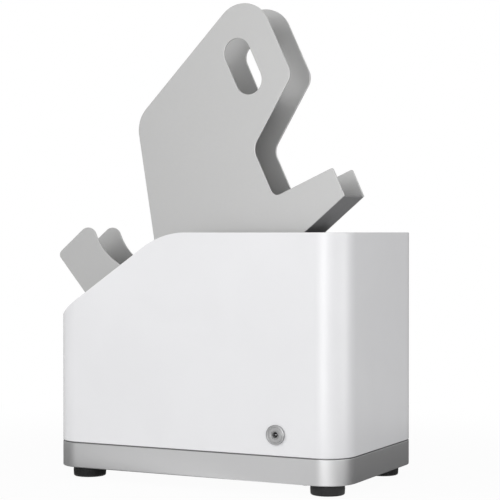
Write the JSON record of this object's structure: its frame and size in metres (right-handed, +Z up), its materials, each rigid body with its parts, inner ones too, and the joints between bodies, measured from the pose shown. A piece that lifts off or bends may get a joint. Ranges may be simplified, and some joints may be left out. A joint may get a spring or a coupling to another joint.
{
  "type": "paper jogger",
  "caption": "Electric paper jogger: white housing on a grey base with rubber feet, and a slanted V tray of thin guide plates that shakes on rubber buffers.",
  "frame": {"origin": "on the desk, at the plane of the feet, under the middle of the whole machine", "axes": "+X to the machine's right, away from the slanted face; +Y from the front, which has the power inlet, to the back, which has the switch and the knob; +Z up"},
  "size_m": [0.3878, 0.2215, 0.5166],
  "materials": {
    "housing_white": "smooth moulded white, satin gloss",
    "base_grey": "silver-grey paint on moulded plastic, satin",
    "tray_paint": "light grey powder coat, very fine grain",
    "rubber_black": "moulded black rubber, matt",
    "zinc_steel": "bright zinc plate",
    "carriage_steel": "plain zinc-coated sheet",
    "black_plastic": "moulded black, fine matt texture",
    "inlet_nickel": "nickel plate, satin",
    "brass": "turned",
    "board_green": "solder mask, semi-gloss",
    "lead_insulation": "smooth insulation",
    "motor_steel": "drawn steel, nickel plated",
    "magnet": "sintered, dark grey",
    "copper": "enamelled copper",
    "weight_iron": "turned, lightly oiled",
    "black_steel": "black oxide"
  },
  "bodies": {
    "base": {"housing_shell": "housing_white", "base_tray": "base_grey", "foot_front_left": "rubber_black", "foot_front_right": "rubber_black", "foot_rear_left": "rubber_black", "foot_rear_right": "rubber_black", "foot_screws": "zinc_steel", "foot_nuts": "zinc_steel", "housing_screws": "black_steel", "buffer_front_left": "rubber_black", "buffer_front_right": "rubber_black", "buffer_rear_left": "rubber_black", "buffer_rear_right": "rubber_black", "buffer_lower_studs": "zinc_steel", "buffer_lower_nuts": "zinc_steel", "inlet_body": "black_plastic", "inlet_bezel": "inlet_nickel", "inlet_nut": "zinc_steel", "inlet_pin": "inlet_nickel", "switch_case": "black_plastic", "speed_control": "black_plastic", "speed_control_nut": "zinc_steel", "circuit_board": "board_green", "board_spacers": "brass", "board_screws": "zinc_steel", "board_components": "black_plastic", "inlet_leads": "lead_insulation", "switch_leads": "lead_insulation", "speed_leads": "lead_insulation", "motor_leads": "lead_insulation"},
    "tray_carriage": {"carrier_plate": "carriage_steel", "buffer_upper_studs": "zinc_steel", "buffer_upper_nuts": "zinc_steel", "left_cradle_bracket": "carriage_steel", "right_cradle_bracket": "carriage_steel", "bracket_bolts": "zinc_steel", "bracket_nuts": "zinc_steel", "tray_floor": "tray_paint", "front_guide_plate": "tray_paint", "rear_guide_plate": "tray_paint", "tray_screws": "zinc_steel", "tray_nuts": "zinc_steel", "motor_can": "motor_steel", "motor_front_cap": "black_plastic", "motor_rear_cap": "black_plastic", "motor_bearings": "brass", "motor_magnets": "magnet", "motor_brushes": "copper", "motor_saddle": "black_plastic", "motor_straps": "carriage_steel", "strap_bolts": "zinc_steel", "strap_nuts": "zinc_steel"},
    "motor_rotor": {"motor_shaft": "motor_steel", "motor_armature": "copper", "front_weight": "weight_iron", "rear_weight": "weight_iron", "weight_set_screws": "black_steel"},
    "rocker": {"power_rocker": "black_plastic"},
    "speed_dial": {"speed_knob": "black_plastic", "speed_spindle": "motor_steel"}
  },
  "joints": [
    {"name": "tray_shake", "type": "slide", "parent": "base", "child": "tray_carriage", "axis": [0, 0, 1], "range_m": [-0.002, 0.002], "stiffness_N_per_m": 17000, "springref_m": 0.00274, "deforming": ["buffer_front_left", "buffer_front_right", "buffer_rear_left", "buffer_rear_right"]},
    {"name": "motor_spin", "type": "hinge", "parent": "tray_carriage", "child": "motor_rotor", "pos_m": [0.078, 0, 0.0723], "axis": [0, 1, 0], "continuous": true},
    {"name": "rocker_tip", "type": "hinge", "parent": "base", "child": "rocker", "pos_m": [0.131, 0.104, 0.0803], "axis": [1, 0, 0], "range_deg": [0, 18]},
    {"name": "speed_turn", "type": "hinge", "parent": "base", "child": "speed_dial", "pos_m": [0.09, 0.105, 0.0803], "axis": [0, -1, 0], "range_deg": [0, 280]}
  ]
}
